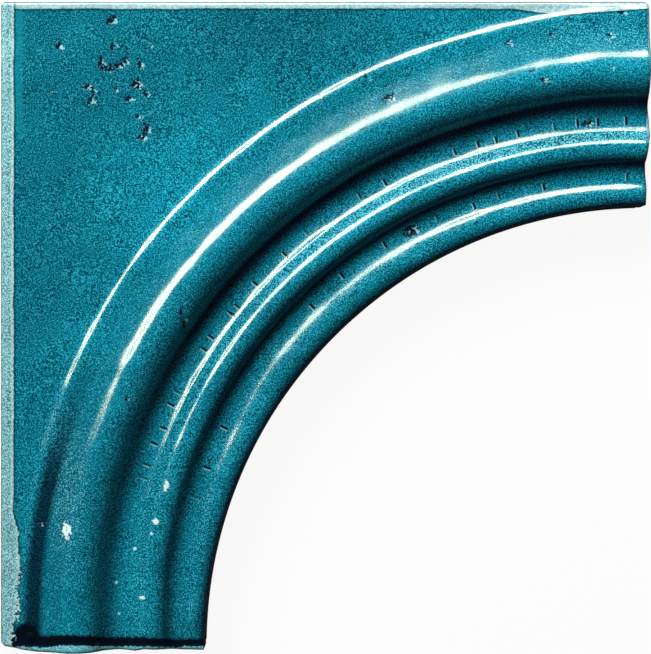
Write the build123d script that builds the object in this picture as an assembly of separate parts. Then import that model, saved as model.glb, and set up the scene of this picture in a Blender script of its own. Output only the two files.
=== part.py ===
from build123d import *
import math
import os

# Square tile in millimetres, back on z = 0, face up, the middle of the square on the Z axis.
side = 152.0
field_thickness = 9.5
corner_round = 1.6
arris_round = 1.2
end_chamfer = 0.8

# The moulding is struck from a point a little inside both edges of the lower right corner.
moulding_inset = 7.4
# Narrowest strip of flat field left outside the moulding.
field_border = 0.8
# From the crest of the inner bead to the opening, on the diagonal.
bead_setback = 3.2

# Radii of the hollows and beads, one after another from the flat field in to the opening.
foot_radius = 4.5
rim_radius = 2.4
trough_radius = 16.0
torus_radius = 6.0
outer_groove_radius = 5.1
outer_reed_radius = 2.2
reed_hollow_radius = 3.0
inner_reed_radius = 3.4
inner_groove_radius = 4.2
bead_radius = 5.2

# Slopes in degrees on the outer and the inner side of each bead, where it passes into a hollow.
rim_outer_slope = 33.0
rim_inner_slope = 5.0
torus_outer_slope = 33.0
torus_inner_slope = 55.0
outer_reed_outer_slope = 37.0
outer_reed_inner_slope = 4.0
inner_reed_outer_slope = 35.0
inner_reed_inner_slope = 52.0
bead_outer_slope = 38.0

# Blind key grooves in the unglazed back, along the diagonal through the opening.
groove_width = 6.0
groove_depth = 1.2
groove_pitch = 22.0
back_border = 9.0

corner_x = side / 2
corner_y = -side / 2


def moulding_arcs():
    """Chain of tangent arcs from the field inwards, a hollow and a bead in turn; the last bead ends upright."""
    turns = [
        (foot_radius, -rim_outer_slope),
        (rim_radius, rim_outer_slope + rim_inner_slope),
        (trough_radius, -rim_inner_slope - torus_outer_slope),
        (torus_radius, torus_outer_slope + torus_inner_slope),
        (outer_groove_radius, -torus_inner_slope - outer_reed_outer_slope),
        (outer_reed_radius, outer_reed_outer_slope + outer_reed_inner_slope),
        (reed_hollow_radius, -outer_reed_inner_slope - inner_reed_outer_slope),
        (inner_reed_radius, inner_reed_outer_slope + inner_reed_inner_slope),
        (inner_groove_radius, -inner_reed_inner_slope - bead_outer_slope),
        (bead_radius, bead_outer_slope + 90),
    ]
    point = (side - moulding_inset - field_border, field_thickness)
    heading = (-1, 0)
    arcs = []
    for radius, turn in turns:
        arc = JernArc(point, heading, radius, turn)
        point = arc @ 1
        heading = arc % 1
        arcs.append(arc)
    return arcs


def moulded_section(arcs):
    """Half section of a turned body with the moulding on its upper side, out to past the far corner."""
    far = 1.5 * side
    foot = arcs[0] @ 0
    bead_end = arcs[-1] @ 1
    field = Line((far, field_thickness), foot)
    inside = Line(bead_end, (bead_end.X, 0))
    back = Line((bead_end.X, 0), (far, 0))
    outside = Line((far, 0), (far, field_thickness))
    return Plane.XZ * make_face([field, *arcs, inside, back, outside])


def tile_outline(arch_radius):
    """Square with the quarter-round opening taken out of one corner and the corner across from it rounded."""
    square = Rectangle(side, side) - Pos(corner_x, corner_y) * Circle(arch_radius)
    across = square.vertices().filter_by(lambda vertex: vertex.X < 0 and vertex.Y > 0)
    return fillet(across, corner_round)


def upper_edges(body):
    """Edges round the top of the upright walls."""
    walls = body.faces().filter_by(lambda face: abs(face.normal_at().Z) < 0.001)
    return walls.edges().filter_by(Axis.Z, reverse=True).filter_by(lambda edge: edge.center().Z > 1.0)


def at_cut_end(edge):
    """True on the two ends where the moulding runs out of the square."""
    return min(corner_x - edge.center().X, edge.center().Y - corner_y) < 0.01


def key_grooves(arch_radius):
    """Rows of round-ended grooves along the diagonal, clear of the edges and of the opening."""
    diagonal = math.sqrt(2)
    margin = back_border + groove_width / 2
    half_span = (side - 2 * margin) / diagonal
    rows = int((half_span - groove_width / 2) / groove_pitch)
    corner = Pos(corner_x, corner_y) * Rot(0, 0, 135)
    grooves = []
    for row in range(-rows, rows + 1):
        offset = row * groove_pitch
        past_arch = math.sqrt((arch_radius + margin) ** 2 - offset**2)
        start = max(past_arch, abs(offset) + margin * diagonal)
        end = (side - margin) * diagonal - abs(offset)
        slot = SlotCenterToCenter(end - start, groove_width)
        grooves.append(corner * Pos((start + end) / 2, offset) * extrude(slot, groove_depth))
    return grooves


arcs = moulding_arcs()
bead_crest = (arcs[-1] @ 1).X + bead_radius
# The opening is struck from the corner itself, so it comes nearest to the bead on the diagonal.
arch_radius = bead_crest - bead_setback + moulding_inset * math.sqrt(2)

turned = revolve(moulded_section(arcs), Axis.Z)
moulding_centre = Pos(corner_x - moulding_inset, corner_y + moulding_inset)
tile = (moulding_centre * turned) & extrude(tile_outline(arch_radius), 3 * field_thickness)
tile = fillet(upper_edges(tile).filter_by(at_cut_end, reverse=True), arris_round)
tile = chamfer(upper_edges(tile).filter_by(at_cut_end), end_chamfer)
tile -= key_grooves(arch_radius)

os.makedirs("parts", exist_ok=True)
export_step(tile, "parts/arch_corner_tile.step")
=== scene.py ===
import math
from functools import partialmethod

import bpy
import numpy as np
from bpy.props import FloatProperty, FloatVectorProperty, IntProperty, PointerProperty
from bpy.types import Operator, Panel, PropertyGroup
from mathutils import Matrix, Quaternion, Vector


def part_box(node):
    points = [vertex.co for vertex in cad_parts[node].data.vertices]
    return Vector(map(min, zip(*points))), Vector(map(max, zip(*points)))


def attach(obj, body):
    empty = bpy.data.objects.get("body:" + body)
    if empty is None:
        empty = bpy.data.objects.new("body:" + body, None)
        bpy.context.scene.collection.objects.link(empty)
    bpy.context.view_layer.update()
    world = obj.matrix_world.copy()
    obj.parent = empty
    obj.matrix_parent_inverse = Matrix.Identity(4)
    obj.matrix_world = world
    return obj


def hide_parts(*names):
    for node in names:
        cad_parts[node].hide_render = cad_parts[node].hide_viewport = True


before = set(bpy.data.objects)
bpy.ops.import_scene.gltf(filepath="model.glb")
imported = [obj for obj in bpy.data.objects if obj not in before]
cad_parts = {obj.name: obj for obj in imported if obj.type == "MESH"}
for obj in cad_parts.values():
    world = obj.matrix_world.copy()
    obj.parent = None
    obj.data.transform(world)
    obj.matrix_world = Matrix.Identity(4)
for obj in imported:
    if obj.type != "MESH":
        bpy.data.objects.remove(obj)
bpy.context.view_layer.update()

bl_info = {
    "name": "Arch Corner Tile",
    "version": (1, 0, 0),
    "blender": (4, 5, 0),
    "location": "View3D > Sidebar > Tile",
    "description": "Glazed arch corner tile with a moulded architrave, on a plain studio floor",
    "category": "Add Mesh",
}

NODE = "arch_corner_tile"
NODE_LOW, NODE_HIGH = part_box(NODE)
MM = 0.001

# Scars of the face, in millimetres and degrees: x, y, half length, half width, heading and depth.
SCARS = np.array([
    (-62.3, 65.4, 0.9, 0.5, 45, 0.4), (-50.1, 71.5, 1.4, 0.6, 40, 0.45), (-52.4, 61.9, 1.3, 0.5, 90, 0.45),
    (-51.0, 60.3, 1.6, 0.5, 0, 0.5), (-48.2, 61.0, 1.4, 0.5, 5, 0.4), (-49.6, 65.7, 1.6, 0.4, 85, 0.3),
    (-46.8, 62.2, 0.8, 0.5, 20, 0.3), (-43.5, 61.2, 1.0, 0.5, 100, 0.35), (-55.7, 56.1, 0.8, 0.6, 30, 0.35),
    (-54.3, 55.1, 0.9, 0.5, 80, 0.3), (-54.8, 52.8, 1.1, 0.5, 60, 0.35), (-44.2, 56.5, 1.1, 0.8, 50, 0.45),
    (-42.1, 54.4, 0.9, 0.5, 90, 0.3), (-49.1, 55.4, 0.7, 0.5, 0, 0.3), (-45.9, 53.2, 0.9, 0.6, 20, 0.3),
    (-44.0, 49.0, 0.6, 0.5, 0, 0.3), (-41.9, 46.0, 1.5, 0.6, 70, 0.4), (-43.0, 44.1, 0.9, 0.6, 30, 0.45),
    (-64.6, 54.7, 0.6, 0.5, 0, 0.25), (-41.6, 65.4, 0.7, 0.5, 60, 0.25), (20.1, 22.3, 1.3, 1.0, 20, 0.55),
    (14.7, 53.2, 1.1, 0.7, 30, 0.45), (61.3, 47.4, 1.1, 0.6, 0, 0.45), (-66.7, -46.0, 1.4, 0.5, 0, 0.3),
    (-33.0, 1.6, 3.2, 0.4, 100, 0.28), (-45.9, -17.1, 2.2, 0.4, 100, 0.26), (42.6, 66.1, 0.9, 0.7, 10, 0.3),
    (50.6, 57.0, 0.9, 0.6, 40, 0.3), (66.0, 67.8, 0.8, 0.6, 0, 0.3), (69.1, 73.2, 1.0, 0.5, 20, 0.3),
    (52.6, 67.9, 0.7, 0.5, 30, 0.3), (66.1, 60.0, 0.6, 0.5, 0, 0.25), (48.0, 59.2, 0.7, 0.5, 60, 0.25),
    (-1.5, 53.5, 0.9, 0.35, -45, 0.35), (9.8, 57.9, 0.6, 0.35, -45, 0.3),
])
# Share of a scar's depth that is cut into the face, the depth from which it is marked in full, and how many
# times the area of its cut the mark has.
SCAR_CUT, FULL_SCAR, MARK_AREA = 0.5, 0.35 * MM, 2.2
# Where the painted highlight on the lit side of a scar lies from its middle, and how far it reaches past the
# scar's half width.
GLINT_SHIFT, GLINT_REACH = (0.9 * MM, -0.2 * MM), 0.3 * MM
# Raised blisters, in millimetres: x, y, z, half width, half length and height, and the share of the top
# painted as a highlight.
BLISTERS = (
    (-59.9, -47.6, 12.5, 1.7, 2.7, 0.15, 1.0), (-36.9, -37.3, 11.0, 0.9, 1.7, 0.1, 0.8),
    (-39.4, -45.6, 11.0, 1.1, 1.0, 0.1, 0.9), (-42.6, -63.3, 11.0, 1.1, 0.6, 0.08, 0.8),
    (-40.4, -48.4, 11.0, 0.6, 0.6, 0.05, 0.7), (-44.3, -52.0, 11.0, 0.6, 0.6, 0.05, 0.7),
    (-48.8, -60.0, 11.0, 0.6, 0.5, 0.05, 0.6), (-48.2, -67.2, 11.0, 0.6, 0.5, 0.05, 0.6),
    (-45.3, -67.4, 11.0, 1.0, 1.0, 0.12, 0.0), (-68.4, -72.6, 10.0, 1.2, 1.2, 0.3, 0.0),
)
# The moulding's stray, at distances from its centre in millimetres: share of its bend outwards at the right
# end and of its sag inwards low on the left.
STRAY_AT = (100.0, 109.0, 114.0, 124.0, 141.0)
BEND_SHARES = (0.4, 0.45, 0.25, 0.55, 1.0)
SAG_SHARES = (0.8, 0.0, 0.0, 0.0, 1.0)
# Bearings in degrees where the bend and the sag start and where they are full.
BEND_TURN, SAG_TURN = (72.0, 97.0), (38.0, 24.0)
# How far the cut ends are drawn in, in millimetres: distance from the centre, right end and lower end.
ENDS_AT = (98.0, 102.0, 107.0, 110.7, 113.0, 117.0, 120.0, 126.0, 130.0, 136.0, 144.5)
RIGHT_IN = (1.0, 0.7, 1.1, 0.5, 0.1, 0.1, 0.45, 0.45, 0.2, 0.2, 0.2)
LOWER_IN = (0.45, 0.25, 0.65, 0.7, 0.25, 0.35, 0.25, 0.1, 0.0, 0.0, 1.2)
END_ZONE = 6 * MM
# Flanks that are less steep on part of the arch: distance from the moulding's centre and half width in
# millimetres, first and last bearing in degrees, and the share of the slope that is missing.
SLACK_FLANKS = ((100.4, 3.0, -30.0, 57.0, 0.12), (129.9, 4.0, 60.0, 75.0, 0.07))
SLACK_FADE = 6.0
# Where the torus's outer flank is drawn out into the trough, in millimetres: distance from the moulding's
# centre, half width and shift.
DRAWN_FLANK = (134.0, 2.5, 0.6)
# Painted shade on the steep flank outside the two deep grooves: number of the groove's level point and, in
# millimetres, how far outside it the shade's middle lies and its half widths on the outer and the inner
# side.
FLANK_SHADES = ((4, 2.9, 1.9, 2.6), (8, 2.9, 1.3, 1.9))
SWELL_RUN, RIPPLE_RUN = 24 * MM, 9 * MM

# Fan of grid lines: first and last bearing in degrees and the steps between, finest where the scars crowd.
FAN = ((0, 40, 100), (40, 45, 32), (45, 54, 60), (54, 90, 92))
END_LINES, BEAD_LINES, FIELD_LINES, WALL_ROWS = 14, 12, 109, 6
LINES_PER_RADIAN, LINES_PER_METRE = 7.5, 620

# Bands across the moulding, in millimetres from its centre.
REED_BAND = (111.2, 113.0)
CALM_BAND = (129.0, 135.0)
TORUS_FLANK = (128.0, 135.0)
TROUGH_BAND = (131.0, 136.5)
TROUGH_FLOOR = (135.6, 138.2)
OUTER_CRACKS = (115.1, 116.8)
INNER_CRACKS = (102.0, 103.6)
# Patches of the face, in millimetres: middle and radii along the axes. Shaded ones also have the share of
# the radius from which they fade, and the shade.
SHADED_PATCHES = (
    ((-38, 33, 10), (26, 26, 26), 0.2, 1.4),
    ((66, 65, 11), (40, 14, 40), 0.2, 1.22),
    ((-8, 69, 10), (36, 16, 30), 0.3, 0.82),
)
LOW_TORUS = ((-60, -38, 12), (7, 24, 20))
RIGHT_END = ((66, 66, 11), (26, 9, 26))
LEFT_BULGE = ((-73, -58, 9), (30, 15, 30))
PUDDLE = ((-69.8, -72.0, 10.0), (3.4, 2.9, 8.0))

# Linear colours of the glaze's details, among them painted highlights and painted shade, and of the floor
# where the camera sees a shadow on it.
STRIP_LINE, STRIP_SHADOW = (0.75, 0.9, 0.9), (0.001, 0.01, 0.03)
SMOOTH_GLAZE, RUN_GLAZE_AND_SHADE = (0.004, 0.29, 0.35), (0.001, 0.004, 0.01)
FLECK, SCAR_GLINT = (0.34, 0.8, 0.84), (0.42, 0.72, 0.76)
BLISTER_GLINT, EDGE_SHADE_LINE = (0.75, 0.95, 0.95), (0.03, 0.13, 0.12)
CRACK, CRACK_GLINT = (0.001, 0.004, 0.012), (0.4, 0.72, 0.76)
FLOOR_SEEN = (0.9, 0.9, 0.9)
GLAZE_IOR, CLAY_ROUGHNESS = 1.55, 0.9


def length(name, description, millimetres):
    """Length property written in millimetres and held in metres."""
    return FloatProperty(name=name, description=description, default=millimetres * MM, min=0.0,
                         precision=4, unit="LENGTH")


def colour(name, description, rgb):
    """Linear colour property."""
    return FloatVectorProperty(name=name, description=description, default=rgb, size=3,
                               min=0.0, max=1.0, subtype="COLOR")


def amount(name, description, value, top=1.0):
    """Plain number property from nothing up to a top value."""
    return FloatProperty(name=name, description=description, default=value, min=0.0, max=top)


def turn(name, description, degrees):
    """Angle property written in degrees."""
    return FloatProperty(name=name, description=description, default=math.radians(degrees), subtype="ANGLE")


class TileShape(PropertyGroup):
    """Sizes of the fired tile, all in its own frame."""

    side: FloatProperty(name="Side", description="Length of a full edge of the square",
                        default=NODE_HIGH[0] - NODE_LOW[0], unit="LENGTH")
    field_thickness: length("Field thickness", "Height of the flat field over the back", 9.5)
    moulding_inset: length("Moulding inset", "How far inside the corner the moulding is struck from", 7.4)
    field_border: length("Field border", "Narrowest strip of field outside the moulding", 1.25)
    bead_setback: length("Bead setback", "From the opening to the inner bead's crest, on the diagonal", 3.5)
    member_radii: FloatVectorProperty(
        name="Hollows and beads", size=10, unit="LENGTH", precision=4,
        description="Radii of the foot, rim, trough, torus, outer groove, outer reed, reed hollow, "
                    "inner reed, inner groove and inner bead, from the field inwards",
        default=[r * MM for r in (4.5, 3.3, 13.49, 6.0, 5.36, 2.2, 2.29, 3.4, 4.22, 5.6)])
    member_slopes: FloatVectorProperty(
        name="Slopes", size=9, subtype="NONE",
        description="Slope, in radians, where each hollow or bead passes into the next",
        default=[math.radians(a) for a in (33.0, 5.0, 35.0, 55.0, 37.0, 4.0, 36.0, 52.0, 36.0)])
    corner_round: length("Corner round", "Radius of the upright corners", 1.6)
    arris_rounds: FloatVectorProperty(
        name="Arris rounds", size=5, unit="LENGTH", precision=4,
        description="Radii of the left, top, lower and right arris and of the one round the opening",
        default=[r * MM for r in (2.2, 1.3, 0.8, 0.9, 1.1)])
    back_bevel: length("Back bevel", "Bevel round the back", 0.5)
    groove_width: length("Key groove width", "Width of the grooves in the back", 6.0)
    groove_depth: length("Key groove depth", "Depth of the grooves in the back", 1.2)
    groove_pitch: length("Key groove pitch", "From one groove to the next", 22.0)
    back_border: length("Back border", "Plain border round the grooves", 9.0)


class GlazeLook(PropertyGroup):
    """Colours and surface of the glaze and of the bare clay."""

    field_colour: colour("Field colour", "Even glaze on the flat field", (0.002, 0.193, 0.268))
    thin_colour: colour("Thin colour", "Glaze drawn thin over a crest", (0.004, 0.28, 0.365))
    # Also the colour of painted shade on the steep groove flanks and near the opening.
    pooled_and_shade_colour: colour("Pooled colour", "Glaze pooled in a groove", (0.0015, 0.0025, 0.02))
    # Strip colours: partly glaze drawn thin at the arrises, partly painted reflection of the bright
    # surroundings.
    left_colour: colour("Left strip", "Glaze drawn off the left arris", (0.21, 0.47, 0.5))
    top_colour: colour("Top strip", "Glaze drawn off the top arris", (0.33, 0.55, 0.56))
    end_colour: colour("End strips", "Glaze drawn off the two cut ends", (0.14, 0.52, 0.59))
    clay_colour: colour("Clay colour", "Unglazed fired clay", (0.62, 0.52, 0.41))
    left_strip: length("Left strip width", "Pale strip at the left edge", 3.2)
    top_strip: length("Top strip width", "Pale strip at the top edge", 1.7)
    lower_strip: length("Lower strip width", "Pale strip at the lower end", 1.9)
    right_strip: length("Right strip width", "Pale strip at the right end", 0.7)
    grain: amount("Grain", "Depth of the fine speckle in the glaze", 0.7)
    roughness: amount("Gloss roughness", "Roughness of the glaze", 0.15)
    swell: length("Swell", "Height of the slow waves in the face", 0.08)
    ripple: length("Ripple", "Height of the short ripples in the glaze", 0.045)
    bend: length("Bend", "Stray of the moulding's rim outwards at its right end", 2.5)
    sag: length("Sag", "Stray of the moulding's rim inwards low on the left", 0.65)
    seed: IntProperty(name="Seed", description="Start of every random draw", default=7, min=0)


class StageLook(PropertyGroup):
    """Camera, lamps and floor."""

    camera_distance: length("Camera distance", "From the lens to the field", 450.0)
    frame_height: length("Frame height", "Height of the picture at the field", 152.8)
    camera_right: length("Camera to the right", "Lens to the right of the tile's middle", 0.16)
    camera_down: length("Camera down", "Lens below the tile's middle in the picture", 0.18)
    azimuth: turn("Lamp azimuth", "Direction of both lamps, from left towards the top", 66.0)
    key_polar: turn("Key tilt", "Angle of the long lamp from straight overhead", 64.0)
    key_roll: turn("Key roll", "How far its left end is raised", 4.5)
    key_distance: length("Key distance", "From the long lamp to the tile", 620.0)
    key_length: length("Key length", "Long side of the lamp", 1250.0)
    key_width: length("Key width", "Short side of the lamp", 125.0)
    key_light: amount("Key light", "Brightness of the lamp's face", 24.0, 200.0)
    halo_length: length("Halo length", "How much longer the dim surround of the lamp is", 380.0)
    halo_width: length("Halo width", "How much wider the dim surround of the lamp is", 110.0)
    halo_light: amount("Halo light", "Brightness of the lamp's surround", 0.7, 200.0)
    key_colour: colour("Key colour", "Tint of the long lamp", (1.0, 0.94, 0.66))
    fill_polar: turn("Fill tilt", "Angle of the broad lamp from straight overhead", 55.0)
    fill_distance: length("Fill distance", "From the broad lamp to the tile", 900.0)
    fill_size: length("Fill size", "Side of the broad lamp", 600.0)
    fill_light: amount("Fill light", "Brightness of the broad lamp's face", 12.5, 200.0)
    world_light: amount("World light", "Even light from all round", 0.03, 4.0)
    floor_colour: colour("Floor colour", "Grey of the floor in its light on the tile", (0.15, 0.15, 0.15))


def moulding_arcs(shape):
    """Chain of tangent arcs across the moulding, hollow and bead in turn, from the field inwards.

    From one level point to the next the chain goes in by (sum of the two radii) * sin(slope) and up or down
    by (sum of the two radii) * (1 - cos(slope)). Returns the distance from the moulding's centre and the
    height of each level point, the radii, +1 for a bead or -1 for a hollow, and the distance of each join.
    """
    radii = np.array(shape.member_radii)
    slopes = np.array(shape.member_slopes)
    kind = np.where(np.arange(len(radii)) % 2, 1.0, -1.0)
    reach = radii[:-1] + radii[1:]
    across = np.concatenate([[0.0], np.cumsum(reach * np.sin(slopes))])
    rise = np.concatenate([[0.0], np.cumsum(-kind[:-1] * reach * (1 - np.cos(slopes)))])
    distance = shape.side - shape.moulding_inset - shape.field_border - across
    joins = distance[:-1] - radii[:-1] * np.sin(slopes)
    return distance, shape.field_thickness + rise, radii, kind, joins


def moulding_height(shape, distance):
    """Height of the face at a distance from the moulding's centre: that of the arc's level point, less or
    plus (radius - sqrt(radius^2 - run^2)) for the run from it, and the flat field outside the foot."""
    level, height, radii, kind, joins = moulding_arcs(shape)
    arc = np.searchsorted(-joins, -distance)
    run = distance - level[arc]
    fall = radii[arc] - np.sqrt(np.maximum(radii[arc] ** 2 - run**2, 0.0))
    return np.where(distance >= level[0], shape.field_thickness, height[arc] - kind[arc] * fall)


def moulding_lines(shape):
    """Distances of the grid lines across the moulding, from the inner bead out to the foot: equal turns
    within each arc, more of them the more it turns and the wider it is."""
    level, _, radii, _, joins = moulding_arcs(shape)
    outer_edge = np.concatenate([level[:1], joins])
    inner_edge = np.concatenate([joins, level[-1:]])
    first = np.arcsin((outer_edge - level) / radii)
    last = np.arcsin((inner_edge - level) / radii)
    count = LINES_PER_RADIAN * (first - last) + LINES_PER_METRE * (outer_edge - inner_edge)
    steps = np.round(count).astype(int) + 1
    parts = [mid + radius * np.sin(np.linspace(low, high, number, endpoint=False))
             for mid, radius, low, high, number in zip(level, radii, last, first, steps)]
    return np.concatenate(parts[::-1])


def arch_radius(shape):
    """Radius of the opening: bead crest less its setback, measured on the diagonal from the tile's
    corner."""
    crest = moulding_arcs(shape)[0][-1]
    return crest - shape.bead_setback + shape.moulding_inset * math.sqrt(2)


def corner_cut(distance, radius):
    """How far a rounded corner draws back an edge at a distance from the other: radius less half a
    chord."""
    run = np.clip(radius - distance, 0.0, radius)
    return radius - np.sqrt(radius**2 - run**2)


def eased(value, start, full):
    """Share from nothing at the start to one at the full value, soft at both: 3 t^2 - 2 t^3."""
    share = np.clip((value - start) / (full - start), 0.0, 1.0)
    return share * share * (3 - 2 * share)


def plan_grid(shape, shrink):
    """Plan of the tile as a grid of lines that fan out from the moulding's centre and lines that follow it.

    Near the two cut ends the fan's lines run parallel to the end. Along each line the points go from the
    opening to the inner bead, at fixed distances from the centre to the foot, and on to the outer edge.
    shrink draws the outline in. Returns x, y and the distance and bearing from the centre.
    """
    inset = shape.moulding_inset - shrink
    reach = shape.side - shape.moulding_inset - shrink
    opening = arch_radius(shape) + shrink
    round_off = shape.corner_round
    level = moulding_arcs(shape)[0]

    lag = inset * (1 - np.linspace(0, 1, END_LINES, endpoint=False) ** 1.7)
    steps = [np.linspace(first, last, count, endpoint=False) for first, last, count in FAN]
    fan = np.radians(np.concatenate([*steps, [90.0]]))
    bearing = np.concatenate([np.zeros_like(lag), fan, np.full_like(lag, math.pi / 2)])
    lower_lag = np.concatenate([lag, np.zeros(len(fan) + len(lag))])
    upper_lag = lower_lag[::-1]
    any_lag = lower_lag + upper_lag

    both = np.cos(bearing) + np.sin(bearing)
    outer = reach / np.maximum(np.cos(bearing), np.sin(bearing))
    core = reach - round_off
    rounded = core * both + np.sqrt(np.maximum((core * both) ** 2 - 2 * core**2 + round_off**2, 0.0))
    in_corner = np.minimum(rounded * np.cos(bearing), rounded * np.sin(bearing)) > core
    outer = np.where(in_corner, rounded, outer)
    inner = np.sqrt(opening**2 - 2 * inset**2 + (inset * both) ** 2) - inset * both
    from_end = inset - any_lag
    cut = corner_cut(from_end, round_off)
    at_end = any_lag > 0
    outer = np.where(at_end, np.hypot(reach - cut, any_lag), outer)
    inner = np.where(at_end, np.hypot(np.sqrt(opening**2 - from_end**2) + cut - inset, any_lag), inner)

    bead, foot = level[-1], level[0]
    bead_part = np.linspace(0, 1, BEAD_LINES, endpoint=False) ** 1.6
    face_part = moulding_lines(shape)
    step = np.linspace(0, 1, FIELD_LINES + (len(bead_part) + len(face_part)) % 2)
    crowding = 0.6
    field_part = step - crowding * np.sin(2 * math.pi * step) / (2 * math.pi)
    distance = np.concatenate([
        inner[:, None] + (bead - inner)[:, None] * bead_part,
        np.broadcast_to(face_part, (len(bearing), len(face_part))),
        foot + (outer - foot)[:, None] * field_part], axis=1)

    angle = (bearing[:, None] - np.arcsin(lower_lag[:, None] / distance)
             + np.arcsin(upper_lag[:, None] / distance))
    centre = shape.side / 2 - shape.moulding_inset
    x = centre - distance * np.cos(angle)
    y = -centre + distance * np.sin(angle)
    return x, y, distance, angle


def waves(x, y, wavelength, seed, count=14):
    """Uneven waves of about one wavelength: the sum of plane waves with random headings, phases and nearby
    wavelengths, scaled to a spread of one."""
    draw = np.random.default_rng(seed)
    headings = draw.uniform(0, 2 * math.pi, count)
    phases = draw.uniform(0, 2 * math.pi, count)
    stretches = draw.uniform(0.7, 1.4, count)
    total = np.zeros_like(x)
    for heading, phase, stretch in zip(headings, phases, stretches):
        along = x * math.cos(heading) + y * math.sin(heading)
        total += np.sin(2 * math.pi * along / (wavelength * stretch) + phase)
    return total * math.sqrt(2 / count)


def draw_in_ends(shape, x, y, distance):
    """Plan with its two cut ends drawn in: near an end each point moves away from it by the table's value
    at its distance from the moulding's centre, times its eased share of the way to the end."""
    half = shape.side / 2
    table = np.array(ENDS_AT) * MM
    right = np.interp(distance, table, RIGHT_IN) * MM * eased(x, half - END_ZONE, half)
    lower = np.interp(distance, table, LOWER_IN) * MM * eased(y, END_ZONE - half, -half)
    return x - right, y + lower


def strayed(look, distance, bearing):
    """Distance across the moulding, changed so that it lies further out towards its right end and further in
    low on the left: by the bend and the sag, each times its share there and an eased share of the turn."""
    at = np.array(STRAY_AT) * MM
    outwards = look.bend * np.interp(distance, at, BEND_SHARES) * eased(bearing, *BEND_TURN)
    inwards = look.sag * np.interp(distance, at, SAG_SHARES) * eased(bearing, *SAG_TURN)
    return distance - outwards + inwards


def slackened(distance, bearing):
    """Distance across the moulding, changed so that each listed flank is less steep: by the missing share
    times the run from it times exp(-(run / half width)^2), on its part of the arch. The drawn flank moves
    outwards by its shift times the same bell."""
    flank, half_width, shift = np.array(DRAWN_FLANK) * MM
    distance = distance - shift * np.exp(-(((distance - flank) / half_width) ** 2))
    for flank, half_width, first, last, missing in SLACK_FLANKS:
        run = distance - flank * MM
        here = eased(bearing, first - SLACK_FADE, first) * eased(bearing, last + SLACK_FADE, last)
        distance = distance - missing * here * run * np.exp(-((run / (half_width * MM)) ** 2))
    return distance


def edge_distances(shape, x, y):
    """Distance in from the left, top, lower and right edges and from the opening."""
    half = shape.side / 2
    return x + half, half - y, y + half, half - x, np.hypot(x - half, y + half) - arch_radius(shape)


def edge_drop(shape, x, y):
    """Fall of the face towards its edges: for each edge, radius - sqrt(radius^2 - (radius - distance)^2)
    inside the radius, joined at the corners as the root of the sum of squares."""
    squares = np.zeros_like(x)
    for distance, radius in zip(edge_distances(shape, x, y), shape.arris_rounds):
        squares += corner_cut(np.maximum(distance, 0.0), radius) ** 2
    return np.sqrt(squares)


def scars(x, y):
    """Depth of the scars: for each, a share of its depth times exp(-(run along / half length)^2 - (run
    across / half width)^2), all added up. Also the scarred share, from bells half as wide again, and the
    share beside it that is painted as a highlight, from round bells to the right and down."""
    depth, mark, glint = np.zeros((3, *x.shape))
    for middle_x, middle_y, long, wide, heading, deep in SCARS * (MM, MM, MM, MM, math.pi / 180, MM):
        right, up = x - middle_x, y - middle_y
        along = right * math.cos(heading) + up * math.sin(heading)
        across = up * math.cos(heading) - right * math.sin(heading)
        run = (along / long) ** 2 + (across / wide) ** 2
        beside = np.hypot(right - GLINT_SHIFT[0], up - GLINT_SHIFT[1]) / (wide + GLINT_REACH)
        strength = min(deep / FULL_SCAR, 1.0)
        depth += SCAR_CUT * deep * np.exp(-run)
        mark = np.maximum(mark, strength * np.exp(-run / MARK_AREA))
        glint = np.maximum(glint, strength * np.exp(-(beside**2)))
    return depth, mark, glint


def pool_and_flank_shade(shape, distance):
    """Glaze thickness across the moulding, from -1 on a crest to 1 where it pools, with painted shade added.

    Height of the profile, smoothed over a few millimetres, less the height itself, three tenths of it above
    nothing; and on the outer side of both deep grooves a bell, exp(-(run / half width)^2), of painted shade
    on the steep flank that faces away from the light.
    """
    spread, step, full = 3.0 * MM, 0.25 * MM, 2.0 * MM
    line = np.arange(80 * MM, 230 * MM, step)
    height = moulding_height(shape, line)
    span = np.arange(-3 * spread, 3 * spread + step, step)
    bell = np.exp(-0.5 * (span / spread) ** 2)
    padded = np.pad(height, len(span) // 2, mode="edge")
    smooth = np.convolve(padded, bell / bell.sum(), mode="valid")[:len(line)]
    thickness = np.clip(np.interp(distance, line, smooth - height) / full, -1.0, 1.0)
    pool = np.where(thickness > 0, 0.3 * thickness, thickness)
    level = moulding_arcs(shape)[0]
    for groove, outside, outer_half, inner_half in FLANK_SHADES:
        run = distance - level[groove] - outside * MM
        half_width = np.where(run > 0, outer_half, inner_half) * MM
        # Painted shade on the steep flank outside each deep groove.
        pool = np.maximum(pool, np.exp(-((run / half_width) ** 2)))
    return pool


def face_surface(shape, look):
    """Glazed face as a height over the plan grid: moulding or field, plus slow swells and short ripples,
    less scars, all three fading out on the rounded edges, less that rounding. Returns the points and the
    values that the glaze reads."""
    x, y, distance, angle = plan_grid(shape, 0.0)
    drop = edge_drop(shape, x, y)
    swell = (look.swell * waves(x, y, SWELL_RUN, look.seed)
             + look.ripple * waves(x, y, RIPPLE_RUN, look.seed + 1))
    depth, mark, glint = scars(x, y)
    end_x, end_y = draw_in_ends(shape, x, y, distance)
    bearing = np.degrees(angle)
    distance = slackened(strayed(look, distance, bearing), bearing)
    fade = 1.5 * MM
    inside = np.clip(1 - drop / fade, 0.0, 1.0)
    height = moulding_height(shape, distance) - drop + (swell - swell.max() - depth) * inside
    values = {
        "pool_and_flank_shade": pool_and_flank_shade(shape, distance),
        "scar": mark,
        "scar_glint": glint,
        "opening_gap": edge_distances(shape, x, y)[4],
        "arc_angle": angle,
        "arc_distance": distance,
    }
    return np.stack([end_x, end_y, height], axis=-1), values


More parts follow.
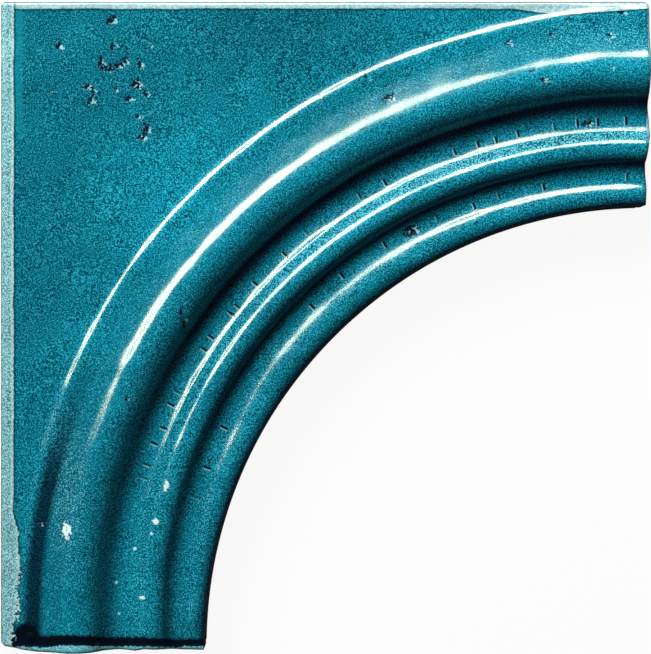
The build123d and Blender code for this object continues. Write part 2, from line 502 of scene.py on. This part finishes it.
def back_surface(shape):
    """Back as a height over the same plan at half the lines, drawn in by the bevel, with round-ended
    grooves along the diagonal: depth falls from the groove's floor to nothing over its sloping side."""
    x, y, distance = (values[::2, ::2] for values in plan_grid(shape, shape.back_bevel)[:3])
    end_x, end_y = draw_in_ends(shape, x, y, distance)
    half = shape.side / 2
    along = ((half - x) + (y + half)) / math.sqrt(2)
    across = ((half - x) - (y + half)) / math.sqrt(2)
    margin = shape.back_border + shape.groove_width / 2
    row = np.round(across / shape.groove_pitch) * shape.groove_pitch
    widest = (shape.side - 2 * margin) / math.sqrt(2) - shape.groove_width / 2
    past_arch = np.sqrt(np.maximum((arch_radius(shape) + margin) ** 2 - row**2, 0.0))
    start = np.maximum(past_arch, np.abs(row) + margin * math.sqrt(2))
    end = (shape.side - margin) * math.sqrt(2) - np.abs(row)
    beyond = np.maximum(np.maximum(start - along, along - end), 0.0)
    from_middle = np.hypot(across - row, beyond)
    side = 1.2 * MM
    top, foot = (shape.groove_width + side) / 2, (shape.groove_width - side) / 2
    floor = eased(from_middle, top, foot) * (np.abs(row) < widest)
    return np.stack([end_x, end_y, shape.groove_depth * floor], axis=-1)


def numbered(start, counts):
    """Grid of point indices that counts on from a start."""
    return start + np.arange(math.prod(counts)).reshape(counts)


def border_loop(index):
    """Indices round the border of a grid, anticlockwise as seen from the face."""
    return np.concatenate([index[:-1, 0], index[-1, :-1], index[:0:-1, -1], index[0, :0:-1]])


def grid_quads(index):
    """Quads of a grid of point indices, facing the way that the grid's first and second directions turn."""
    corners = [index[:-1, :-1], index[1:, :-1], index[1:, 1:], index[:-1, 1:]]
    return np.stack(corners, axis=-1).reshape(-1, 4)


def tile_mesh(shape, look):
    """Closed skin of the tile: face grid, upright walls under its border, bevel and coarser back grid."""
    face, values = face_surface(shape, look)
    back = back_surface(shape)
    face_index = numbered(0, face.shape[:2])
    border = border_loop(face_index)
    wall_index = numbered(face_index.size, (WALL_ROWS, len(border)))
    back_index = numbered(face_index.size + wall_index.size, back.shape[:2])

    rim = face.reshape(-1, 3)[border]
    share = np.linspace(0, 1, WALL_ROWS + 1)[1:, None]
    wall_height = rim[:, 2] + (shape.back_bevel - rim[:, 2]) * share
    wall_plan = [np.broadcast_to(rim[:, axis], wall_height.shape) for axis in (0, 1)]
    wall = np.stack([*wall_plan, wall_height], axis=-1)

    upper = np.vstack([border, wall_index[:-1]])
    next_upper, next_lower = np.roll(upper, -1, axis=1), np.roll(wall_index, -1, axis=1)
    walls = np.stack([wall_index, next_lower, next_upper, upper], axis=-1)
    lowest = wall_index[-1]
    back_border = border_loop(back_index)
    bevel = np.stack([back_border, np.roll(back_border, -1),
                      np.roll(lowest, -2)[::2], np.roll(lowest, -1)[::2], lowest[::2]], axis=-1)
    points = np.concatenate([face.reshape(-1, 3), wall.reshape(-1, 3), back.reshape(-1, 3)])
    back_quads = grid_quads(back_index)[:, ::-1]
    polygons = np.concatenate([grid_quads(face_index), walls.reshape(-1, 4), back_quads])

    mesh = bpy.data.meshes.new("glazed_arch_tile")
    mesh.from_pydata(points.tolist(), [], polygons.tolist() + bevel.tolist())
    mesh.polygons.foreach_set("use_smooth", np.ones(len(mesh.polygons), dtype=bool))
    past_the_run = 10 * MM
    for name, value in values.items():
        flat = value.reshape(-1)
        rest = np.concatenate([np.tile(flat[border], WALL_ROWS), np.zeros(back_index.size)])
        if name == "opening_gap":
            rest[:] = past_the_run
        mesh.attributes.new(name, "FLOAT", "POINT").data.foreach_set("value", np.concatenate([flat, rest]))
    mesh.update()
    return mesh


class NodeSheet:
    """Adds nodes to a material or world and joins them, one short call each."""

    def __init__(self, owner):
        self.tree = owner.node_tree
        self.tree.nodes.clear()

    def add(self, kind, **settings):
        node = self.tree.nodes.new(kind)
        for name, value in settings.items():
            setattr(node, name, value)
        return node

    def feed(self, socket, value):
        if isinstance(value, bpy.types.NodeSocket):
            self.tree.links.new(value, socket)
        elif socket.type == "RGBA":
            socket.default_value = (*value, 1.0)
        else:
            socket.default_value = value

    def attribute(self, name):
        return self.add("ShaderNodeAttribute", attribute_name=name).outputs["Fac"]

    def maths(self, operation, *values):
        node = self.add("ShaderNodeMath", operation=operation)
        for socket, value in zip(node.inputs, values):
            self.feed(socket, value)
        return node.outputs[0]

    def chain(self, operation, first, *others):
        """Any number of values, joined two at a time."""
        for other in others:
            first = self.maths(operation, first, other)
        return first

    plus = partialmethod(chain, "ADD")
    minus = partialmethod(chain, "SUBTRACT")
    times = partialmethod(chain, "MULTIPLY")
    most = partialmethod(chain, "MAXIMUM")
    least = partialmethod(chain, "MINIMUM")
    times_plus = partialmethod(maths, "MULTIPLY_ADD")

    def remap(self, value, low, high, to_low=0.0, to_high=1.0, smooth=False):
        node = self.add("ShaderNodeMapRange", interpolation_type="SMOOTHSTEP" if smooth else "LINEAR")
        for socket, given in zip(node.inputs, (value, low, high, to_low, to_high)):
            self.feed(socket, given)
        return node.outputs[0]

    def window(self, value, low, high, soft):
        """One between two values, falling to nothing over the soft width outside them."""
        rise = self.remap(self.minus(value, low), -soft, 0.0)
        fall = self.remap(self.minus(value, high), soft, 0.0)
        return self.least(rise, fall)

    def grey(self, value):
        node = self.add("ShaderNodeCombineColor")
        for socket in node.inputs:
            self.feed(socket, value)
        return node.outputs[0]

    def blend(self, share, first, second, blend_type="MIX"):
        node = self.add("ShaderNodeMix", data_type="RGBA", blend_type=blend_type)
        for name, value in (("Factor", share), ("A", first), ("B", second)):
            self.feed(node.inputs[name], value)
        return node.outputs["Result"]

    def speckle(self, share, rgb, dark, pale):
        """Colour between a darker and a paler tone of itself."""
        return self.blend(share, [dark * part for part in rgb], [min(pale * part, 1.0) for part in rgb])

    def surface(self, kind, shader):
        self.feed(self.add(kind).inputs["Surface"], shader.outputs[0])


class Coat(NodeSheet):
    """Nodes of the glaze, with the values that they read at each point of the tile."""

    def __init__(self, material, shape):
        super().__init__(material)
        half = shape.side / 2
        self.place = self.add("ShaderNodeTexCoord").outputs["Object"]
        axes = self.add("ShaderNodeSeparateXYZ")
        self.feed(axes.inputs[0], self.place)
        self.x, self.y, self.z = axes.outputs
        self.from_left = self.plus(self.x, half)
        self.from_top = self.minus(half, self.y)
        self.from_lower = self.plus(self.y, half)
        self.from_right = self.minus(half, self.x)
        self.pool = self.attribute("pool_and_flank_shade")
        self.angle = self.attribute("arc_angle")
        self.distance = self.attribute("arc_distance")
        self.opening = self.attribute("opening_gap")
        self.fine = self.noise(0.3 * MM, 0.0)
        self.ragged = self.remap(self.noise(0.7 * MM, 1.0), 0.25, 0.75, -0.45, 0.45)
        self.scar = self.remap(self.plus(self.attribute("scar"), self.ragged), 0.55, 0.67)
        lit = self.remap(self.minus(self.attribute("scar_glint"), self.ragged), 0.62, 0.74)
        self.glint = self.times(lit, self.minus(1.0, self.scar))
        slow = self.remap(self.noise(8 * MM, 3.0), 0.2, 0.8, -0.35 * MM, 0.35 * MM)
        quick = self.remap(self.noise(0.9 * MM), 0.2, 0.8, -0.25 * MM, 0.25 * MM)
        self.wobble = self.plus(slow, quick)

    def noise(self, size, detail=2.0):
        node = self.add("ShaderNodeTexNoise")
        self.feed(node.inputs["Vector"], self.place)
        self.feed(node.inputs["Scale"], 1.0 / size)
        self.feed(node.inputs["Detail"], detail)
        return node.outputs["Fac"]

    def by_angle(self, first, last, low, high):
        """Value that goes from low to high along the arch, between two bearings in degrees."""
        return self.remap(self.angle, math.radians(first), math.radians(last), low, high)

    def across(self, band, soft):
        """One on a band of the moulding, with borders that are soft over some millimetres."""
        low, high = band
        return self.window(self.distance, low * MM, high * MM, soft * MM)

    def spot(self, middle, radii):
        """Distance from a point, counted in radii along each axis; all lengths in millimetres."""
        mapping = self.add("ShaderNodeMapping", vector_type="TEXTURE")
        self.feed(mapping.inputs["Vector"], self.place)
        self.feed(mapping.inputs["Location"], [value * MM for value in middle])
        self.feed(mapping.inputs["Scale"], [value * MM for value in radii])
        size = self.add("ShaderNodeVectorMath", operation="LENGTH")
        self.feed(size.inputs[0], mapping.outputs[0])
        return size.outputs["Value"]


def gathered_glaze_and_shade(coat):
    """How far the glaze has run together, with painted shade added: in the grooves, with painted shade on
    their steep flanks that is deepest where the light falls across them, in the trough low on the left, at
    the opening, partly painted shade on its rounding, and in the scars."""
    # Painted shade in the grooves is deepest where the light falls across them.
    groove_shade_share = coat.by_angle(14, 34, 0.6, 0.97)
    grooves = coat.times(coat.most(coat.pool, 0.0), groove_shade_share)
    trough = coat.times(coat.by_angle(26, 14, 0.0, 0.85), coat.across(TROUGH_FLOOR, 2.0))
    # Darker near the opening: partly glaze run to the edge, partly painted shade on the rounding that faces
    # away from the light.
    drip_and_shade = coat.remap(coat.opening, 0.5 * MM, 3.2 * MM, 0.85, 0.0)
    return coat.most(grooves, trough, drip_and_shade, coat.times(coat.scar, 0.92))


def body_colour(coat, look, gathered_and_shade):
    """Teal by the thickness of the glaze and by painted shade, with fine grain, slow mottling, pale flecks
    that are partly painted sparkle near the highlights, and painted highlights beside the scars.
    """
    thinned = coat.remap(coat.pool, -0.6, 0.0, 1.0, 0.0)
    glazed = coat.blend(thinned, look.field_colour, look.thin_colour)
    glazed = coat.blend(gathered_and_shade, glazed, look.pooled_and_shade_colour)

    patchy = coat.remap(coat.noise(7 * MM), 0.35, 0.65, 0.65, 1.25)
    calm = coat.remap(coat.across(CALM_BAND, 3), 0.0, 1.0, 12 * look.grain, 7 * look.grain)
    swing = coat.times(coat.minus(coat.fine, 0.52), patchy, calm)
    grain = coat.least(coat.maths("POWER", 2.0, swing), 1.65)
    mottle = coat.remap(coat.noise(20 * MM, 3.0), 0.3, 0.7, 0.88, 1.12)
    far_field = coat.remap(coat.distance, 146 * MM, 160 * MM, 1.12, 0.91, smooth=True)
    bright_end = coat.by_angle(40, 85, 0.95, 1.1)
    reeds = coat.times(coat.across(REED_BAND, 1.0), coat.by_angle(26, 70, 0.2, 1.0))
    reed_shine = coat.times_plus(reeds, 0.7, 1.0)
    trough_shade = coat.times_plus(coat.across(TROUGH_BAND, 1.5), -0.12, 1.0)
    patches = [coat.remap(coat.spot(middle, radii), start, 1.0, shade, 1.0, smooth=True)
               for middle, radii, start, shade in SHADED_PATCHES]
    shade = coat.times(grain, mottle, far_field, *patches, bright_end, reed_shine, trough_shade)
    glazed = coat.blend(1.0, glazed, coat.grey(shade), "MULTIPLY")

    # Zones of thicker flecks, between the reeds, on the torus low on the left and at the right end: partly
    # glaze specks, partly painted sparkle near the highlights.
    low_torus = coat.remap(coat.spot(*LOW_TORUS), 0.3, 1.0, 0.45, 0.0)
    right_end = coat.remap(coat.spot(*RIGHT_END), 0.3, 1.0, 0.4, 0.0)
    speck_and_sparkle_zones = coat.most(reeds, low_torus, right_end)
    bright = coat.remap(coat.times_plus(speck_and_sparkle_zones, 0.16, coat.fine), 0.63, 0.8)
    fleck = coat.times(bright, coat.remap(speck_and_sparkle_zones, 0.0, 1.0, 0.18, 0.7), coat.remap(gathered_and_shade, 0.8, 0.0))
    glazed = coat.blend(fleck, glazed, FLECK)
    # Painted highlight beside each scar.
    return coat.blend(coat.times(coat.glint, 0.75), glazed, SCAR_GLINT)


def end_run_and_shade(coat, look, lower, glazed):
    """Dark roll of glaze along the lower end, partly painted shade on the lower arris that faces away from
    the light, wider towards the left, and a puddle in the corner.
    """
    width = coat.remap(coat.x, -72 * MM, -28 * MM, 3.0 * MM, 1.8 * MM)
    past_roll = coat.minus(lower, coat.plus(width, look.lower_strip))
    # Dark band of run glaze and painted shade along the lower end.
    roll = coat.remap(past_roll, 0.35 * MM, -0.35 * MM)
    puddle = coat.remap(coat.times_plus(coat.wobble, 400.0, coat.spot(*PUDDLE)), 1.1, 0.8)
    return coat.blend(coat.most(roll, puddle), glazed, RUN_GLAZE_AND_SHADE)


def strip_layer(coat, glazed, edge_distance, width, strip_colour, shadow, line, share=1.0):
    """Pale strip along an edge, partly painted reflection, with a paler line on its inner side and a thin
    painted shadow line beside it.
    """
    beside = coat.window(edge_distance, width, coat.plus(width, 0.4 * MM), 0.2 * MM)
    shaded = coat.blend(coat.times(beside, shadow), glazed, STRIP_SHADOW)
    border = coat.window(edge_distance, coat.minus(width, 0.55 * MM), width, 0.15 * MM)
    strip = coat.blend(coat.times(border, line), strip_colour, STRIP_LINE)
    inside = coat.remap(coat.minus(edge_distance, width), 0.1 * MM, -0.1 * MM)
    return coat.blend(coat.times(inside, share), shaded, strip)


def edge_strips(coat, look, glazed):
    """Run of glaze and painted shade at the lower end, and pale strips at the arrises, partly glaze drawn
    thin and partly painted reflection of the bright surroundings: torn low on the left, wider on the top
    near the right end, and broken by the grooves at the right end. Thin dark lines of painted shade run
    inside the left and top edges."""
    torn = coat.remap(coat.y, -40 * MM, -60 * MM, 0.6, 4.0)
    bulge = coat.remap(coat.spot(*LEFT_BULGE), 0.4, 1.0, 1.5 * MM, 0.0)
    left = coat.minus(coat.times_plus(coat.wobble, torn, coat.from_left), bulge)
    top = coat.times_plus(coat.wobble, 0.4, coat.from_top)
    lean = coat.times(coat.minus(14 * MM, coat.z), 0.17)
    lower = coat.plus(coat.from_lower, coat.wobble, lean)
    right = coat.plus(coat.from_right, coat.wobble)
    glazed = end_run_and_shade(coat, look, lower, glazed)

    near_top = coat.remap(coat.y, 40 * MM, 52 * MM, 0.0, 0.55)
    smooth_zone = coat.times(coat.window(left, 3.5 * MM, 5.0 * MM, 0.6 * MM), near_top)
    glazed = coat.blend(smooth_zone, glazed, SMOOTH_GLAZE)
    widest = 1.8 * look.top_strip
    top_width = coat.least(coat.remap(coat.x, 44 * MM, 53 * MM, look.top_strip, widest),
                           coat.remap(coat.x, 58 * MM, 75 * MM, widest, 1.1 * look.top_strip))
    on_crests = coat.remap(coat.pool, 0.5, 0.1)
    left_colour = coat.speckle(coat.remap(coat.fine, 0.3, 0.7), look.left_colour, 0.35, 1.75)
    end_colour = coat.speckle(coat.remap(coat.fine, 0.35, 0.65), look.end_colour, 0.55, 1.5)
    top_colour = coat.speckle(coat.remap(coat.ragged, -0.3, 0.3), look.top_colour, 0.8, 1.3)
    for strip in ((right, look.right_strip, end_colour, 0.2, 0.2, on_crests),
                  (lower, look.lower_strip, end_colour, 0.9, 0.05),
                  (top, top_width, top_colour, 0.6, 0.1),
                  (left, look.left_strip, left_colour, 0.6, 0.35)):
        glazed = strip_layer(coat, glazed, *strip)

    # Thin dark lines of painted shade just inside the left and top edges.
    dashes = coat.remap(coat.noise(1.1 * MM), 0.4, 0.6, 0.1, 0.75)
    left_shade_line = coat.times(coat.window(coat.from_left, 0.15 * MM, 0.38 * MM, 0.1 * MM), dashes)
    top_shade_line = coat.times(coat.window(coat.from_top, 0.12 * MM, 0.28 * MM, 0.1 * MM), 0.75)
    return coat.blend(coat.most(left_shade_line, top_shade_line), glazed, EDGE_SHADE_LINE)


def tick_marks(coat, band, pitch, offset):
    """Short cracks across a groove, within a band of the moulding and about a pitch in degrees apart, of
    uneven strength and place: their dark line and a painted highlight on their lit side."""
    low, high = (edge * MM for edge in band)
    step = math.radians(pitch)
    along = coat.plus(coat.maths("DIVIDE", coat.angle, step), offset)
    cells = coat.add("ShaderNodeTexVoronoi", voronoi_dimensions="1D", feature="F1")
    coat.feed(cells.inputs["W"], along)
    coat.feed(cells.inputs["Scale"], 1.0)
    chance = coat.add("ShaderNodeSeparateColor")
    coat.feed(chance.inputs[0], cells.outputs["Color"])
    strength = coat.times(coat.remap(chance.outputs[0], 0.2, 0.5), coat.by_angle(15, 19, 0.0, 1.0))
    room = high - low
    shift = coat.remap(chance.outputs[1], 0.0, 1.0, -0.2 * room, 0.5 * room)
    shown = coat.times(strength, coat.window(coat.plus(coat.distance, shift), low, high, 0.2 * MM))
    beside = coat.times(coat.minus(along, cells.outputs["W"]), step * (low + high) / 2)
    dark = coat.times(shown, coat.window(beside, -0.14 * MM, 0.3 * MM, 0.1 * MM))
    lit = coat.times(shown, coat.window(beside, -0.46 * MM, -0.34 * MM, 0.1 * MM))
    return dark, lit


def frosted_gloss(coat):
    """Where the gloss is broken up: low on the inner bead, and on a stretch of the torus's outer flank."""
    bead = coat.times(coat.remap(coat.distance, 105 * MM, 103 * MM), coat.by_angle(66, 58, 0.0, 0.6))
    stretch = coat.window(coat.angle, math.radians(60), math.radians(72), math.radians(6))
    return coat.most(bead, coat.times(coat.across(TORUS_FLANK, 2), stretch, 0.5))


def blister_domes(coat):
    """Each blister as a share of its own height, 1 - (distance from its middle in half widths)^2 and not
    below nothing, with that height and the share of its top painted as a highlight."""
    domes = []
    upright_reach = 6.0
    for *middle, half_width, half_length, height, glint_share in BLISTERS:
        size = coat.spot(middle, (half_width, half_length, upright_reach))
        dome = coat.minus(1.0, coat.least(coat.times(size, size), 1.0))
        domes.append((dome, height * MM, glint_share))
    return domes


def surface_relief(coat, cracks, frost, domes):
    """Bump of the glaze: fine grain, coarser where the gloss is broken up, sunk cracks and scars, raised
    blisters. Heights are counted in steps of the relief's depth."""
    depth = 0.02 * MM
    grain = coat.times(coat.fine, coat.remap(frost, 0.0, 1.0, 0.6, 1.8))
    relief = coat.minus(grain, coat.times_plus(coat.scar, 5.0, cracks))
    for dome, height, _ in domes:
        relief = coat.times_plus(dome, height / depth, relief)
    bump = coat.add("ShaderNodeBump")
    coat.feed(bump.inputs["Distance"], depth)
    coat.feed(bump.inputs["Height"], relief)
    return bump.outputs[0]


def glaze_material(look, shape):
    """Gloss teal glaze: colour by its thickness and by painted shade, speckled, pale at the arrises with
    painted reflection, cracked across the grooves, run together and painted shade at the lower end, painted
    highlights beside the scars and cracks and on the blisters; bare clay low on the edges and on the back."""
    material = bpy.data.materials.new("teal_gloss_glaze")
    material.use_nodes = True
    coat = Coat(material, shape)

    glazed = body_colour(coat, look, gathered_glaze_and_shade(coat))
    glazed = edge_strips(coat, look, glazed)
    domes = blister_domes(coat)
    for dome, _, glint_share in domes:
        # Painted highlight on the blister tops, where the lamp would glint.
        painted_glint = coat.remap(coat.plus(dome, coat.ragged), 0.45, 0.75, 0.0, glint_share)
        glazed = coat.blend(painted_glint, glazed, BLISTER_GLINT)
    outer_dark, outer_lit = tick_marks(coat, OUTER_CRACKS, 2.4, 0.0)
    inner_dark, inner_lit = tick_marks(coat, INNER_CRACKS, 4.2, 31.7)
    cracks = coat.most(outer_dark, inner_dark)
    lit_sides = coat.most(outer_lit, inner_lit)
    # Painted highlight along the lit side of each crack.
    glazed = coat.blend(coat.times(lit_sides, 0.6), glazed, CRACK_GLINT)
    glazed = coat.blend(coat.times(cracks, 0.97), glazed, CRACK)

    edge_line = coat.remap(coat.noise(9 * MM), 0.0, 1.0, -1.5 * MM, 1.5 * MM)
    bare = coat.remap(coat.plus(coat.z, edge_line), 2.4 * MM, 2.0 * MM)
    clay = coat.speckle(coat.noise(1.5 * MM), look.clay_colour, 1.0, 0.82)
    frost = frosted_gloss(coat)
    gloss = coat.remap(coat.noise(3 * MM), 0.3, 0.7, 0.85 * look.roughness, 1.25 * look.roughness)
    gloss = coat.times(gloss, coat.remap(frost, 0.0, 1.0, 1.0, 1.5))

    shader = coat.add("ShaderNodeBsdfPrincipled")
    coat.feed(shader.inputs["IOR"], GLAZE_IOR)
    coat.feed(shader.inputs["Base Color"], coat.blend(bare, glazed, clay))
    coat.feed(shader.inputs["Roughness"], coat.remap(bare, 0.0, 1.0, gloss, CLAY_ROUGHNESS))
    coat.feed(shader.inputs["Normal"], surface_relief(coat, cracks, frost, domes))
    coat.surface("ShaderNodeOutputMaterial", shader)
    return material


class TILE_OT_glazed_tile(Operator):
    """Build the glazed tile over its solid"""

    bl_idname = "tile.glazed_tile"
    bl_label = "Glazed tile"

    def execute(self, context):
        shape = context.scene.tile_shape
        look = context.scene.tile_glaze
        mesh = tile_mesh(shape, look)
        mesh.materials.append(glaze_material(look, shape))
        piece = bpy.data.objects.new("glazed_arch_tile", mesh)
        context.scene.collection.objects.link(piece)
        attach(piece, "root")
        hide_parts(NODE)
        return {"FINISHED"}


def floor_material(look):
    """Matt floor that the camera sees as white, with part of the shadow kept, and that lights the tile as
    grey."""
    material = bpy.data.materials.new("studio_floor")
    material.use_nodes = True
    sheet = NodeSheet(material)
    seen = sheet.add("ShaderNodeLightPath").outputs["Is Camera Ray"]
    matt = sheet.add("ShaderNodeBsdfDiffuse")
    sheet.feed(matt.inputs["Color"], sheet.blend(seen, look.floor_colour, FLOOR_SEEN))
    white = sheet.add("ShaderNodeEmission")
    mix = sheet.add("ShaderNodeMixShader")
    white_share = 0.93
    sheet.feed(mix.inputs[0], sheet.times(seen, white_share))
    sheet.feed(mix.inputs[1], matt.outputs[0])
    sheet.feed(mix.inputs[2], white.outputs[0])
    sheet.surface("ShaderNodeOutputMaterial", mix)
    return material


def studio_world(look):
    """Even grey light all round, white where the camera sees past the floor."""
    world = bpy.data.worlds.new("studio_world")
    world.use_nodes = True
    sheet = NodeSheet(world)
    seen = sheet.add("ShaderNodeLightPath").outputs["Is Camera Ray"]
    light = sheet.add("ShaderNodeBackground")
    sheet.feed(light.inputs["Strength"], sheet.remap(seen, 0.0, 1.0, look.world_light, 1.0))
    sheet.surface("ShaderNodeOutputWorld", light)
    return world


def area_lamp(scene, name, azimuth, polar, distance, size, light, roll=0.0):
    """Rectangular lamp that faces the tile, its first side level but for the roll; light is the brightness
    of its face."""
    lamp = bpy.data.lights.new(name, "AREA")
    lamp.shape = "RECTANGLE"
    lamp.size, lamp.size_y = size
    lamp.energy = math.pi * light * size[0] * size[1]
    level = math.sin(polar)
    direction = Vector((-level * math.cos(azimuth), level * math.sin(azimuth), math.cos(polar)))
    stand = bpy.data.objects.new(name, lamp)
    stand.location = direction * distance
    stand.rotation_euler = (direction.to_track_quat("Z", "Y") @ Quaternion((0.0, 0.0, 1.0), roll)).to_euler()
    scene.collection.objects.link(stand)
    return stand


class TILE_OT_stage(Operator):
    """Set the camera, lamps, floor and world"""

    bl_idname = "tile.stage"
    bl_label = "Stage"

    def execute(self, context):
        scene = context.scene
        look = scene.tile_stage
        shape = scene.tile_shape
        scene.view_settings.view_transform = "Standard"

        camera = bpy.data.cameras.new("camera")
        camera.sensor_width = 36.0
        camera.lens = camera.sensor_width * look.camera_distance / look.frame_height
        camera.clip_start = 10 * MM
        view = bpy.data.objects.new("camera", camera)
        view.location = (look.camera_right, -look.camera_down, shape.field_thickness + look.camera_distance)
        scene.collection.objects.link(view)
        scene.camera = view

        key_size = (look.key_length, look.key_width)
        halo_size = (look.key_length + look.halo_length, look.key_width + look.halo_width)
        for name, distance, size, light in (
                ("long_softbox", look.key_distance, key_size, look.key_light),
                ("long_softbox_halo", look.key_distance + 20 * MM, halo_size, look.halo_light)):
            key = area_lamp(scene, name, look.azimuth, look.key_polar, distance, size, light,
                            look.key_roll)
            key.data.color = look.key_colour
            key.visible_diffuse = False
        fill = area_lamp(scene, "broad_softbox", look.azimuth, look.fill_polar, look.fill_distance,
                         (look.fill_size, look.fill_size), look.fill_light)
        fill.visible_glossy = False

        half = 3.0
        floor_mesh = bpy.data.meshes.new("floor")
        corners = [(-half, -half, 0), (half, -half, 0), (half, half, 0), (-half, half, 0)]
        floor_mesh.from_pydata(corners, [], [(0, 1, 2, 3)])
        floor_mesh.materials.append(floor_material(look))
        floor = bpy.data.objects.new("floor", floor_mesh)
        floor.location = (0.0, 0.0, NODE_LOW[2] - 0.1 * MM)
        scene.collection.objects.link(floor)
        scene.world = studio_world(look)
        return {"FINISHED"}


class TILE_PT_panel(Panel):
    """Lists the tile's settings and the operators that build it"""

    bl_label = "Arch Corner Tile"
    bl_idname = "TILE_PT_panel"
    bl_space_type = "VIEW_3D"
    bl_region_type = "UI"
    bl_category = "Tile"

    def draw(self, context):
        for name in SETTINGS:
            box = self.layout.box()
            box.label(text=name.removeprefix("tile_").title())
            settings = getattr(context.scene, name)
            for key in settings.bl_rna.properties.keys():
                if key not in {"rna_type", "name"}:
                    box.prop(settings, key)
        self.layout.operator(TILE_OT_glazed_tile.bl_idname)
        self.layout.operator(TILE_OT_stage.bl_idname)


SETTINGS = {"tile_shape": TileShape, "tile_glaze": GlazeLook, "tile_stage": StageLook}
CLASSES = (*SETTINGS.values(), TILE_OT_glazed_tile, TILE_OT_stage, TILE_PT_panel)


def register():
    for cls in CLASSES:
        bpy.utils.register_class(cls)
    for name, group in SETTINGS.items():
        setattr(bpy.types.Scene, name, PointerProperty(type=group))


def unregister():
    for name in SETTINGS:
        delattr(bpy.types.Scene, name)
    for cls in reversed(CLASSES):
        bpy.utils.unregister_class(cls)


def main():
    register()
    bpy.ops.tile.glazed_tile()
    bpy.ops.tile.stage()


if __name__ == "__main__":
    main()
